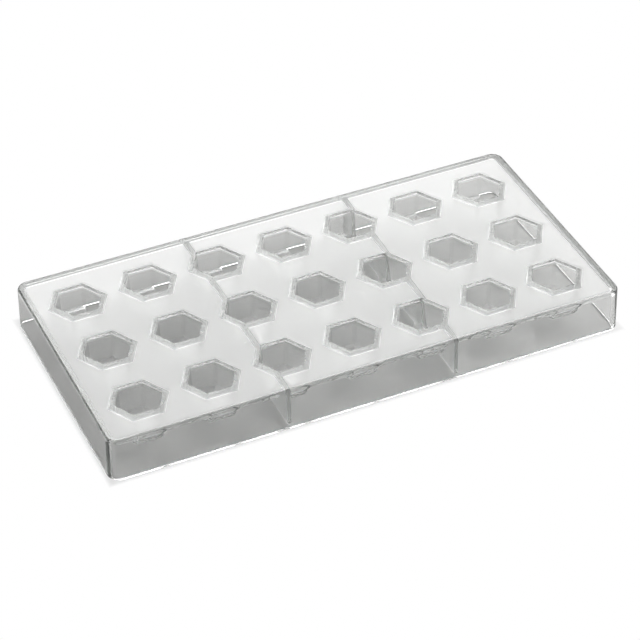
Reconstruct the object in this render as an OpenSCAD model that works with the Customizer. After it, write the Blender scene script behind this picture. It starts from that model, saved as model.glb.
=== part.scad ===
// Clear moulded chocolate mould: a tray with hexagonal cavities, open underneath.
// The origin is the middle of the footprint, on the surface that the rim rests on.

/* [Tray] */
// Length of the rim where it rests
mould_l = 275; // [250:1:320]
// Width of the rim where it rests
mould_w = 135; // [125:1:180]
// Height from the rim to the filling face
mould_h = 24; // [22:0.5:40]
// Radius of the four upright corners
corner_r = 6.5; // [4:0.5:12]
// How far each side wall leans in from the rim to the filling face
wall_draft = 0.5; // [0:0.1:1.5]
// Rounding along the outer edge of the filling face
edge_r = 0.6; // [0.2:0.1:1.5]

/* [Shell] */
// Thickness of the plate that carries the cavities
plate_t = 2.5; // [1.5:0.1:3.5]
// Thickness of the four side walls
wall_t = 3; // [2:0.1:4]
// Radius of the upright corners inside the side walls
inner_corner_r = 1.5; // [1:0.5:4]
// Rounding where walls, cups and ribs meet the underside of the plate
root_r = 1.4; // [0.5:0.1:1.6]

/* [Cavities] */
// Cavities along the length
cavity_cols = 7; // [1:1:7]
// Cavities across the width
cavity_rows = 3; // [1:1:3]
// From an end of the rim to the middle of the cavities beside it
end_margin = 25; // [21:0.5:28]
// From a long side of the rim to the middle of the cavities beside it
side_margin = 26.2; // [20:0.1:30]
// Width of a cavity's mouth across its flats
mouth_w = 22; // [18:0.5:24]
// Depth of a cavity
cavity_d = 18; // [10:0.5:19]
// Lean of a cavity's six faces, in degrees
cavity_draft = 3; // [1:0.5:8]
// Rounding between a cavity's faces and its floor, which the cup follows outside
floor_r = 4; // [0.4:0.1:6]
// Wall round a cavity
cup_t = 2.2; // [1.5:0.1:3]
// Floor under a cavity
cup_floor_t = 2; // [1.5:0.1:3]

/* [Ribs] */
// Distance of each stiffening rib from the middle
rib_x = 45; // [38:0.5:56]
// Thickness of a rib
rib_t = 2; // [1.5:0.1:3.5]
// Clear height under a rib
rib_lift = 2; // [0.5:0.5:8]

/* [Hidden] */
glass_clear = [0.86, 0.88, 0.88, 0.55];
// Segments in a full turn of the upright corners, and in a quarter turn of a small rounding
corner_steps = 48;
arc_steps = 5;
// What a cutting solid runs past the face that it opens
over = 1;
// Height of the thin posts that a hull joins
skin = 0.01;
hex_sides = 6;
// From half the width across the flats to a corner of a hexagon
to_corner = 1 / cos(180 / hex_sides);
under_z = mould_h - plate_t;
rib_sides = [-1, 1];
// Distances between the cavities along the length and across the width
pitch_x = (mould_l - 2 * end_margin) / max(cavity_cols - 1, 1);
pitch_y = (mould_w - 2 * side_margin) / max(cavity_rows - 1, 1);

// Points of a quarter turn of radius r about (cx, cz), from angle a0 to a1
function arc_points(cx, cz, r, a0, a1) =
    [for (i = [0:arc_steps]) let (a = a0 + (a1 - a0) * i / arc_steps) [cx + r * cos(a), cz + r * sin(a)]];

// Half the width across a cavity's flats at depth d under its mouth, where grow is added all round
function half_flat(d, grow) = mouth_w / 2 + grow - d * tan(cavity_draft);

// Four upright corners of a rectangle l by w at height z, which a hull joins
module corner_posts(l, w, r, z) {
    for (x = [-1, 1], y = [-1, 1])
        translate([x * (l / 2 - r), y * (w / 2 - r), z])
            cylinder(h = skin, r = r, $fn = corner_steps);
}

// The tray's outer form: leaning side walls and a rounded upper edge
module tray_outside() {
    lean = wall_draft * (mould_h - edge_r) / mould_h;
    hull() {
        corner_posts(mould_l, mould_w, corner_r, 0);
        for (p = arc_points(-edge_r, mould_h - edge_r, edge_r, 0, 90)) {
            inset = lean - p[0];
            corner_posts(mould_l - 2 * inset, mould_w - 2 * inset, corner_r - inset, p[1] - skin);
        }
    }
}

// The open space inside the side walls, up to the rounding under the plate
module tray_inside() {
    rise = under_z - root_r;
    lean = wall_draft * rise / mould_h;
    hull() {
        corner_posts(mould_l - 2 * wall_t, mould_w - 2 * wall_t, inner_corner_r + root_r, -over);
        for (p = arc_points(-root_r, rise, root_r, 0, 90)) {
            inset = wall_t + lean - p[0];
            corner = inner_corner_r + root_r + p[0];
            corner_posts(mould_l - 2 * inset, mould_w - 2 * inset, corner, p[1] - skin);
        }
    }
}

// A hexagonal solid turned from half a section, with two corners on the length
module hex_turned(section) {
    rotate_extrude($fn = hex_sides)
        polygon([for (p = section) [p[0] * to_corner, p[1]]]);
}

// One cavity, from above the filling face to its rounded floor
module cavity() {
    foot = half_flat(cavity_d, 0);
    hex_turned(concat(
        [[0, over], [half_flat(-over, 0), over]],
        arc_points(foot - floor_r, floor_r - cavity_d, floor_r, -cavity_draft, -90),
        [[0, -cavity_d]]
    ));
}

// One cup, the wall and rounded floor round a cavity, with its rounding under the plate
module cup() {
    deep = cavity_d + cup_floor_t;
    foot_r = floor_r + cup_t;
    root_flat = half_flat(plate_t + root_r, cup_t);
    hex_turned(concat(
        [[0, -deep]],
        arc_points(half_flat(deep, cup_t) - foot_r, foot_r - deep, foot_r, -90, -cavity_draft),
        arc_points(root_flat + root_r, -plate_t - root_r, root_r, 180 - cavity_draft, 90),
        [[root_flat + root_r, -plate_t / 2], [0, -plate_t / 2]]
    ));
}

module at_cavities() {
    for (i = [0:cavity_cols - 1], j = [0:cavity_rows - 1])
        translate([(i - (cavity_cols - 1) / 2) * pitch_x, (j - (cavity_rows - 1) / 2) * pitch_y, mould_h])
            children();
}

// One stiffening rib across the underside, from side wall to side wall
module rib() {
    span = mould_w - wall_t;
    half = rib_t / 2;
    top_z = mould_h - plate_t / 2;
    section = concat(
        [[-half, rib_lift], [half, rib_lift]],
        arc_points(half + root_r, under_z - root_r, root_r, 180, 90),
        [[half + root_r, top_z], [-half - root_r, top_z]],
        arc_points(-half - root_r, under_z - root_r, root_r, 90, 0)
    );
    rotate([90, 0, 0])
        linear_extrude(span, center = true)
            polygon(section);
}

module mould() {
    color(glass_clear)
        difference() {
            union() {
                difference() {
                    tray_outside();
                    tray_inside();
                }
                at_cavities() cup();
                for (side = rib_sides)
                    translate([side * rib_x, 0, 0])
                        rib();
            }
            at_cavities() cavity();
        }
}

mould();
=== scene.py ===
import bmesh
import bpy
import numpy as np
from mathutils import Matrix, Vector


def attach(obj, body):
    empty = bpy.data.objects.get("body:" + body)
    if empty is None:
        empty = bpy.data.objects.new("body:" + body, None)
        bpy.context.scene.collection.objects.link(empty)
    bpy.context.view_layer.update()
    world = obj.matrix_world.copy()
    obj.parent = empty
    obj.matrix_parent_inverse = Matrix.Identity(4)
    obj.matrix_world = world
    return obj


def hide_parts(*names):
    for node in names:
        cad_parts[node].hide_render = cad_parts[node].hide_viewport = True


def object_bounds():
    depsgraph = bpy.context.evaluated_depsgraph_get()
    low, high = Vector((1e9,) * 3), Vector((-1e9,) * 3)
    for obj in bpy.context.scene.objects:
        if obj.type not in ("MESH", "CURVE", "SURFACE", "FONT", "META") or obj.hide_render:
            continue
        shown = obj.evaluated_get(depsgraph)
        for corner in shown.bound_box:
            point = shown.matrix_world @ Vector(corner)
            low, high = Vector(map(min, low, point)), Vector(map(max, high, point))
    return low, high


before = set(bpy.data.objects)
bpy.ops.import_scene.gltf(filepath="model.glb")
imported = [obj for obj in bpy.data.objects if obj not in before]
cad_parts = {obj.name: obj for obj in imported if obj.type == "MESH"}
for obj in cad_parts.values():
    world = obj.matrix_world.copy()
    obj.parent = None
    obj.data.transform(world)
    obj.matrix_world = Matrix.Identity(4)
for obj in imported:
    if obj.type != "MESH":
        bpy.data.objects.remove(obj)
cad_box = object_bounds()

scene = bpy.context.scene
scene.view_settings.view_transform = "Standard"

# The skirt and plate. One moulding in clear polycarbonate: a shallow tray whose skirt leans in a
# little, so that it leaves the steel tool, with softly rounded upright corners and a fine round
# along the top edge. All sizes are in millimetres.
MM = 0.001
low, high = np.array([list(corner) for corner in cad_box]) / MM
LENGTH, WIDTH, HEIGHT = np.round(high - low, 2)
PLATE, SKIRT, LEAN = 2.5, 3.0, 0.5
CORNER, INNER_CORNER = 6.5, 1.5
TOP_ROUND, FOOT_ROUND, INNER_FOOT, ROOT = 1.2, 0.4, 0.5, 1.4
FINE_STEPS, EDGE_STEPS, CORNER_STEPS = 4, 8, 12
# How far a cutting skin runs past the face that it opens
OVER = 1.0
# The upright part of a face's normal from which the face counts as level
LEVEL = 0.99
# The tool's faces leave five finishes: polished, satin under the plate and on the ribs, a coarser
# satin in the cups' roots, a finer one on the foot, and a cup's side, which turns satin lower down.
POLISHED, SATIN, ROOTS, FOOT, CUP = range(5)
ROUGHNESS = np.array([0.01, 0.34, 0.4, 0.2, 0.01])
plastic = bpy.data.materials.new("clear_polycarbonate")


def bend(cx, cz, r, start, stop, steps=EDGE_STEPS):
    """Points of a circular arc in a section: centre plus r times the cosine and sine of the angle."""
    a = np.radians(np.linspace(start, stop, steps + 1))
    return np.stack([cx + r * np.cos(a), cz + r * np.sin(a)], 1)


def round_box(half_l, half_w, radius):
    """A rounded rectangle for every level at once: four corner centres, each plus its radius along a
    quarter turn of directions. Takes arrays of half sizes and radii, gives levels x points x 2."""
    quarters = np.array([0, 90, 180, 270])
    a = np.radians((quarters[:, None] + np.linspace(0, 90, CORNER_STEPS + 1)).ravel())
    middles = np.radians(np.repeat(quarters + 45, CORNER_STEPS + 1))
    x = np.sign(np.cos(middles)) * (half_l - radius)[:, None] + radius[:, None] * np.cos(a)
    y = np.sign(np.sin(middles)) * (half_w - radius)[:, None] + radius[:, None] * np.sin(a)
    return np.stack([x, y], -1)


def lofted(rings, heights):
    """A closed skin over rings stacked at the heights: quads between neighbours, a cap at each end."""
    levels, count = rings.shape[:2]
    upright = np.broadcast_to(heights[:, None, None], (levels, count, 1))
    points = np.concatenate([rings, upright], 2)
    i = np.arange(count)
    j = (i + 1) % count
    base = np.arange(levels - 1)[:, None] * count
    quads = np.stack([base + i, base + j, base + count + j, base + count + i], -1).reshape(-1, 4)
    caps = [list(range(count))[::-1], list(range((levels - 1) * count, levels * count))]
    return points.reshape(-1, 3), [*quads.tolist(), *caps]


def solid(name, shells):
    """One object from several closed skins, in metres, with a material slot for each finish."""
    points, faces, first = [], [], 0
    for p, f in shells:
        points.append(p * MM)
        faces.extend([[k + first for k in face] for face in f])
        first += len(p)
    mesh = bpy.data.meshes.new(name)
    mesh.from_pydata(np.concatenate(points).tolist(), [], faces)
    edit = bmesh.new()
    edit.from_mesh(mesh)
    bmesh.ops.recalc_face_normals(edit, faces=edit.faces)
    edit.to_mesh(mesh)
    edit.free()
    for _ in ROUGHNESS:
        mesh.materials.append(plastic)
    part = bpy.data.objects.new(name, mesh)
    scene.collection.objects.link(part)
    return part


def upright_of(part, measure):
    """The third part of a measure of every face, such as its normal or its centre."""
    values = np.empty(3 * len(part.data.polygons), np.float32)
    part.data.polygons.foreach_get(measure, values)
    return values[2::3]


def set_finish(part, finish):
    """Gives every face its finish as a slot number, one for all or an array of them."""
    slots = np.broadcast_to(finish, len(part.data.polygons)).astype(np.int32)
    part.data.polygons.foreach_set("material_index", slots)


lean = LEAN / HEIGHT
edge = bend(-TOP_ROUND, HEIGHT - TOP_ROUND, TOP_ROUND, 0, 90)
foot = bend(-FOOT_ROUND, FOOT_ROUND, FOOT_ROUND, -90, 0, FINE_STEPS)
section = np.concatenate([foot, edge])
inset = section[:, 1] * lean - section[:, 0]
rings = round_box(LENGTH / 2 - inset, WIDTH / 2 - inset, CORNER - inset)
tray = solid("mould", [lofted(rings, section[:, 1])])
set_finish(tray, np.where(upright_of(tray, "normal") < -LEVEL, FOOT, POLISHED))

under = HEIGHT - PLATE
bow = bend(-ROOT, under - ROOT, ROOT, 0, 90)
flare = bend(INNER_FOOT, INNER_FOOT, INNER_FOOT, 270, 180, FINE_STEPS)
section = np.concatenate([[[INNER_FOOT, -OVER]], flare, bow])
inset = SKIRT + np.maximum(section[:, 1], 0) * lean - section[:, 0]
rings = round_box(LENGTH / 2 - inset, WIDTH / 2 - inset, INNER_CORNER + ROOT + section[:, 0])
hollow = solid("hollow", [lofted(rings, section[:, 1])])
set_finish(hollow, np.where(np.abs(upright_of(hollow, "normal")) < LEVEL, POLISHED, SATIN))

# Cups and cavities. Each cavity is a hexagon with leaning, polished faces, moulded against its own
# steel punch. The cup round it hangs under the plate, clear at the side and satin at its rounded
# bottom.
COLUMNS, ROWS, PITCH_X, PITCH_Y = 7, 3, 37.5, 41.3
MOUTH, DEPTH, DRAFT = 22.0, 18.0, 3.0
CUP_WALL, CUP_FLOOR, FLOOR_ROUND = 2.2, 2.0, 4.0
LIP, EDGE_IN, EDGE_OUT = 0.15, 0.15, 0.4
FLOOR_STEPS, BOTTOM_STEPS = 12, 14
# A root's arc stops this many degrees short of level, so that none of its faces lies in the plate's
ROOT_STOP = 2
HEX_SIDES = 6
SIXTH = 360 / HEX_SIDES
# The share of a hexagon's half width that a corner's radius may take
ROUND_SHARE = 0.98


def hexagon(half_flat, radius):
    """A hexagon with rounded corners for every level at once, two corners on the length: six corner
    centres at (half width less radius) over cos 30, each plus its radius along a sixth of a turn."""
    radius = np.minimum(radius, half_flat * ROUND_SHARE)
    turn = np.repeat(np.arange(HEX_SIDES) * SIXTH, FINE_STEPS + 1)
    a = np.radians(turn + np.tile(np.linspace(-SIXTH / 2, SIXTH / 2, FINE_STEPS + 1), HEX_SIDES))
    reach = ((half_flat - radius) / np.cos(np.radians(SIXTH / 2)))[:, None]
    x = reach * np.cos(np.radians(turn)) + radius[:, None] * np.cos(a)
    y = reach * np.sin(np.radians(turn)) + radius[:, None] * np.sin(a)
    return np.stack([x, y], -1)


def at_cavities(section, radius):
    """The same hexagonal skin at the middle of every cavity: the pitch times the steps from the
    middle one, along and across, added to each ring."""
    rings = hexagon(section[:, 0], np.full(len(section), radius))
    shells = []
    for i in range(COLUMNS):
        for j in range(ROWS):
            middle = np.array([(i - (COLUMNS - 1) / 2) * PITCH_X, (j - (ROWS - 1) / 2) * PITCH_Y])
            shells.append(lofted(rings + middle, section[:, 1] + HEIGHT))
    return shells


slope = np.tan(np.radians(DRAFT))
mouth = MOUTH / 2
deep = mouth - DEPTH * slope
section = np.concatenate([
    bend(deep - FLOOR_ROUND, FLOOR_ROUND - DEPTH, FLOOR_ROUND, -90, -DRAFT, FLOOR_STEPS),
    bend(mouth + LIP, -LIP, LIP, 180 - DRAFT, 90, FINE_STEPS),
    [[mouth + LIP, OVER]],
])
cavities = solid("cavities", at_cavities(section, EDGE_IN))
set_finish(cavities, POLISHED)

bottom = DEPTH + CUP_FLOOR
foot_r = FLOOR_ROUND + CUP_WALL
wall = mouth + CUP_WALL - bottom * slope
root = mouth + CUP_WALL - (PLATE + ROOT) * slope
section = np.concatenate([
    bend(wall - foot_r, foot_r - bottom, foot_r, -90, -DRAFT, BOTTOM_STEPS),
    bend(root + ROOT, -PLATE - ROOT, ROOT, 180 - DRAFT, 90 + ROOT_STOP),
    [[root + ROOT, -PLATE / 2]],
])
cups = solid("cups", at_cavities(section, EDGE_OUT))
set_finish(cups, np.where(upright_of(cups, "center") > (under - ROOT) * MM, ROOTS, CUP))

# Ribs. Two of them cross the underside, moulded with the plate and the long walls. They stiffen the
# tray and stop short of the table.
RIB_X, RIB, RIB_LIFT = 45.0, 2.0, 2.0

half = RIB / 2
section = np.concatenate([
    [[-half, RIB_LIFT], [half, RIB_LIFT]],
    bend(half + ROOT, under - ROOT, ROOT, 180, 90 + ROOT_STOP),
    [[half + ROOT, under + PLATE / 2], [-half - ROOT, under + PLATE / 2]],
    bend(-half - ROOT, under - ROOT, ROOT, 90 - ROOT_STOP, 0),
])
span = np.array([-1.0, 1.0]) * (WIDTH - SKIRT) / 2
shells = []
for side in (-1, 1):
    ring = np.broadcast_to(section + [side * RIB_X, 0.0], (2, *section.shape))
    points, faces = lofted(ring, span)
    shells.append((points[:, [0, 2, 1]], faces))
ribs = solid("ribs", shells)
set_finish(ribs, SATIN)

# One piece. All of it comes out of the tool in one shot, so the parts are joined into a single
# closed skin: the hollow is taken from the tray, the cups and ribs are added, and the cavities are
# cut last.
SHARP_ANGLE, EVEN_WEIGHT = 24, 100
for part, way in ((hollow, "DIFFERENCE"), (cups, "UNION"), (ribs, "UNION"), (cavities, "DIFFERENCE")):
    cut = tray.modifiers.new(part.name, "BOOLEAN")
    cut.object, cut.operation, cut.solver = part, way, "MANIFOLD"
joined = bpy.data.meshes.new_from_object(tray.evaluated_get(bpy.context.evaluated_depsgraph_get()))
tray.modifiers.clear()
tray.data = joined
for part in (hollow, cups, ribs, cavities):
    bpy.data.objects.remove(part)
joined.shade_smooth()
joined.set_sharp_from_angle(angle=np.radians(SHARP_ANGLE))
even = tray.modifiers.new("even_shading", "WEIGHTED_NORMAL")
even.keep_sharp = True
even.weight = EVEN_WEIGHT

# Each face keeps its finish as a roughness, and one clear plastic covers them all.
finish = np.empty(len(joined.polygons), np.int32)
joined.polygons.foreach_get("material_index", finish)
for name, values in (("finish", ROUGHNESS[finish]), ("cup", (finish == CUP).astype(float))):
    joined.attributes.new(name, "FLOAT", "FACE").data.foreach_set("value", values)
joined.materials.clear()
joined.materials.append(plastic)
set_finish(tray, 0)

REFRACTION, CLEAR = 1.585, (1.0, 1.0, 1.0, 1.0)
# Thick runs of plastic, such as a wall seen along its height, take more of the light.
TINT, ABSORPTION = (0.9, 0.905, 0.9, 1.0), 130.0
# A cup's satin, full below the lower height and gone above the upper one
BOTTOM_ROUGHNESS, BOTTOM_LOW, BOTTOM_HIGH = 0.5, 4.0, 12.0
# A grain that spreads the roughness, between the values that the noise mostly keeps to
GRAIN_SCALE, GRAIN_DETAIL, GRAIN_SPREAD, NOISE_LOW, NOISE_HIGH = 900.0, 2.0, 0.2, 0.3, 0.7
# Moulded faces are slightly wavy where the plastic has shrunk. The depth is in metres.
WAVE_SCALE, WAVE_DETAIL, WAVE_DEPTH = 38.0, 1.0, 1.5e-5


def add_node(tree, kind, inputs=(), **options):
    """A shader node with its options set, where each input gets its own value or a link."""
    node = tree.nodes.new("ShaderNode" + kind)
    for option, value in options.items():
        setattr(node, option, value)
    for socket, value in dict(inputs).items():
        if isinstance(value, bpy.types.NodeSocket):
            tree.links.new(value, node.inputs[socket])
        else:
            node.inputs[socket].default_value = value
    return node


def ramp(tree, value, start, stop, first=0.0, last=1.0, way="SMOOTHSTEP"):
    """Runs from first to last while the value runs from start to stop, and holds beyond them."""
    limits = {"From Min": start, "From Max": stop, "To Min": first, "To Max": last}
    node = add_node(tree, "MapRange", {"Value": value, **limits}, interpolation_type=way)
    return node.outputs["Result"]


def reckon(tree, operation, *values):
    """The result of one operation on the values or links, in their order."""
    node = add_node(tree, "Math", enumerate(values), operation=operation)
    return node.outputs["Value"]


plastic.use_nodes = True
tree = plastic.node_tree
place = add_node(tree, "TexCoord").outputs["Object"]
own = add_node(tree, "Attribute", attribute_name="finish").outputs["Fac"]
on_cup = add_node(tree, "Attribute", attribute_name="cup").outputs["Fac"]
height = add_node(tree, "SeparateXYZ", {"Vector": place}).outputs["Z"]
low_satin = ramp(tree, height, BOTTOM_HIGH * MM, BOTTOM_LOW * MM, 0.0, BOTTOM_ROUGHNESS)
satin = reckon(tree, "MULTIPLY_ADD", on_cup, low_satin, own)
fine = add_node(tree, "TexNoise", {"Vector": place, "Scale": GRAIN_SCALE, "Detail": GRAIN_DETAIL})
spread = (1 - GRAIN_SPREAD, 1 + GRAIN_SPREAD)
grain = ramp(tree, fine.outputs["Fac"], NOISE_LOW, NOISE_HIGH, *spread, way="LINEAR")
slow = add_node(tree, "TexNoise", {"Vector": place, "Scale": WAVE_SCALE, "Detail": WAVE_DETAIL})
waves = {"Strength": 1.0, "Distance": WAVE_DEPTH, "Height": slow.outputs["Fac"]}
ripple = add_node(tree, "Bump", waves).outputs["Normal"]
depth = add_node(tree, "VolumeAbsorption", {"Color": TINT, "Density": ABSORPTION})
shader = tree.nodes["Principled BSDF"]
shader.inputs["Base Color"].default_value = CLEAR
shader.inputs["IOR"].default_value = REFRACTION
shader.inputs["Transmission Weight"].default_value = 1.0
tree.links.new(reckon(tree, "MULTIPLY", satin, grain), shader.inputs["Roughness"])
tree.links.new(ripple, shader.inputs["Normal"])
tree.links.new(depth.outputs["Volume"], tree.nodes["Material Output"].inputs["Volume"])
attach(tray, "root")
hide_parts("mould")

# Table. A plain pale table top under the mould, matt, where the mould stands and casts its shadow.
# It fades to the white of the backdrop away from it, also where plastic shows or mirrors it. Under
# and near the mould the white is withheld, which is painted shade there over the table's own lit
# shading.
TABLE, TABLE_ROUGHNESS = (0.8, 0.8, 0.792, 1.0), 0.9
TABLE_HALF, TABLE_GAP = 3000.0, 0.2
# Distances from the mould's foot at which the white starts and is full, which bound the painted shade
# around the mould
WHITE_FROM, WHITE_TO = -5.0, 75.0
# The share of the lit table that the camera sees at the foot, and the width of this painted contact
# shadow, in which the table's real shade also shows
PAINTED_SHADOW, PAINTED_SHADOW_WIDE = 0.3, 2.5

mesh = bpy.data.meshes.new("table")
corners = np.array([(-1, -1), (1, -1), (1, 1), (-1, 1)]) * TABLE_HALF * MM
top = np.column_stack([corners, np.full(len(corners), -TABLE_GAP * MM)])
mesh.from_pydata(top.tolist(), [], [(0, 1, 2, 3)])
table = bpy.data.objects.new("table", mesh)
scene.collection.objects.link(table)
material = bpy.data.materials.new("table")
material.use_nodes = True
tree = material.node_tree
shader = tree.nodes["Principled BSDF"]
shader.inputs["Base Color"].default_value = TABLE
shader.inputs["Roughness"].default_value = TABLE_ROUGHNESS
shader.inputs["Specular IOR Level"].default_value = 0.0
# The distance outside the foot is the larger of how far a point is past the end and past the side.
place = add_node(tree, "TexCoord").outputs["Object"]
folded = add_node(tree, "VectorMath", {0: place}, operation="ABSOLUTE").outputs["Vector"]
foot_corner = (LENGTH / 2 * MM, WIDTH / 2 * MM, 0.0)
past = add_node(tree, "VectorMath", {0: folded, 1: foot_corner}, operation="SUBTRACT")
axes = add_node(tree, "SeparateXYZ", {"Vector": past.outputs["Vector"]})
away = reckon(tree, "MAXIMUM", axes.outputs["X"], axes.outputs["Y"])
path = add_node(tree, "LightPath").outputs
# Plastic shows the white only away from the mould, so under and near it the table keeps a painted
# shade: its lit grey without the white.
through = reckon(tree, "MAXIMUM", path["Is Glossy Ray"], path["Is Transmission Ray"])
beyond = reckon(tree, "MULTIPLY", through, ramp(tree, away, WHITE_FROM * MM, WHITE_TO * MM))
# The camera sees white too, apart from a painted contact shadow along the foot: a narrow band where
# the white gives way to the lit table, whose real shade shows in it.
painted_contact_shadow = ramp(tree, away, 0.0, PAINTED_SHADOW_WIDE * MM, 1 - PAINTED_SHADOW, 1.0)
direct = reckon(tree, "MULTIPLY", path["Is Camera Ray"], painted_contact_shadow)
white = add_node(tree, "Emission", {"Strength": 1.0}).outputs["Emission"]
share = reckon(tree, "MAXIMUM", direct, beyond)
lit = add_node(tree, "MixShader", {"Fac": share, 1: shader.outputs["BSDF"], 2: white})
# From below, the table isn't drawn, so that the underside can be seen.
side = add_node(tree, "NewGeometry").outputs["Backfacing"]
nothing = add_node(tree, "BsdfTransparent").outputs["BSDF"]
seen = add_node(tree, "MixShader", {"Fac": side, 1: lit.outputs["Shader"], 2: nothing})
tree.links.new(seen.outputs["Shader"], tree.nodes["Material Output"].inputs["Surface"])
mesh.materials.append(material)

# Light. A studio tent, a little brighter overhead than along the horizon, with one soft panel behind
# the mould, whose reflection lies over the filling face, and a weaker one off the right-hand end.
HORIZON, ZENITH, OVERHEAD = 0.18, 0.22, 0.8
# Each panel's turn from the back and its height, where it is full and where it ends, all in
# degrees, and its strength
PANELS = [(15.0, 38.0, 6.0, 20.0, 4.5), (100.0, 20.0, 8.0, 30.0, 2.2)]
# A soft box stands off the right-hand end, so the table under the mould is brighter there. Its
# place and size are in millimetres, and its power is in watts.
BOX_PLACE, BOX_SIZE, BOX_POWER = (420.0, 100.0, 300.0), 300.0, 0.8
# Light passes many faces of clear plastic on its way to the table and back.
CLEAR_BOUNCES, MIRROR_BOUNCES = 40, 24

world = bpy.data.worlds.new("studio")
scene.world = world
world.use_nodes = True
tree = world.node_tree
around = add_node(tree, "TexCoord").outputs["Generated"]
rise = add_node(tree, "SeparateXYZ", {"Vector": around}).outputs["Z"]
level = ramp(tree, rise, 0.0, OVERHEAD, HORIZON, ZENITH)
for turn, height, inner, outer, strength in PANELS:
    t, h = np.radians([turn, height])
    middle = (np.sin(t) * np.cos(h), np.cos(t) * np.cos(h), np.sin(h))
    facing = add_node(tree, "VectorMath", {0: around, 1: middle}, operation="DOT_PRODUCT")
    rim, core = np.cos(np.radians([outer, inner]))
    level = reckon(tree, "ADD", level, ramp(tree, facing.outputs["Value"], rim, core, 0.0, strength))
# The camera itself sees a white backdrop.
direct = add_node(tree, "LightPath").outputs["Is Camera Ray"]
seen = add_node(tree, "Mix", {"Factor": direct, "A": level, "B": 1.0})
background = tree.nodes["Background"]
background.inputs["Color"].default_value = (1.0, 1.0, 1.0, 1.0)
tree.links.new(seen.outputs["Result"], background.inputs["Strength"])

soft_box = bpy.data.lights.new("soft_box", "AREA")
soft_box.size, soft_box.energy = BOX_SIZE * MM, BOX_POWER
lamp = bpy.data.objects.new("soft_box", soft_box)
lamp.location = Vector(BOX_PLACE) * MM
lamp.rotation_euler = Vector(BOX_PLACE).to_track_quat("Z", "Y").to_euler()
lamp.visible_camera = False
scene.collection.objects.link(lamp)

scene.cycles.max_bounces = CLEAR_BOUNCES
scene.cycles.transmission_bounces = CLEAR_BOUNCES
scene.cycles.glossy_bounces = MIRROR_BOUNCES
scene.cycles.blur_glossy = 0.0

# Camera. A long lens from the front left, 39 degrees above the table, fitted to the mould's outline
# and its grid of cavities. Angles are in degrees, and the focal length is in pixels.
TURN, PITCH, ROLL = -24.2635, 38.8254, -0.5106
FOCUS, SHIFT_X, SHIFT_Y, AWAY = 2515.123, -1.2065, 2.1958, 1276.546
PICTURE, SENSOR, FARTHEST = 640, 36.0, 20.0

a, e, r = np.radians([TURN, PITCH, ROLL])
ahead = -np.array([np.sin(a) * np.cos(e), -np.cos(a) * np.cos(e), np.sin(e)])
right = np.cross(ahead, [0.0, 0.0, 1.0])
right /= np.linalg.norm(right)
rolled = np.array([[np.cos(r), -np.sin(r), 0], [np.sin(r), np.cos(r), 0], [0, 0, 1]])
axes = rolled @ np.array([right, np.cross(ahead, right), ahead])
pose = np.eye(4)
pose[:3, :3] = np.stack([axes[0], -axes[1], -axes[2]], 1)
pose[:3, 3] = -axes.T @ np.array([SHIFT_X, SHIFT_Y, AWAY]) * MM
lens = bpy.data.cameras.new("camera")
lens.sensor_width = SENSOR
lens.lens = FOCUS * SENSOR / PICTURE
lens.clip_end = FARTHEST
camera = bpy.data.objects.new("camera", lens)
camera.matrix_world = Matrix(pose.tolist())
scene.collection.objects.link(camera)
scene.camera = camera
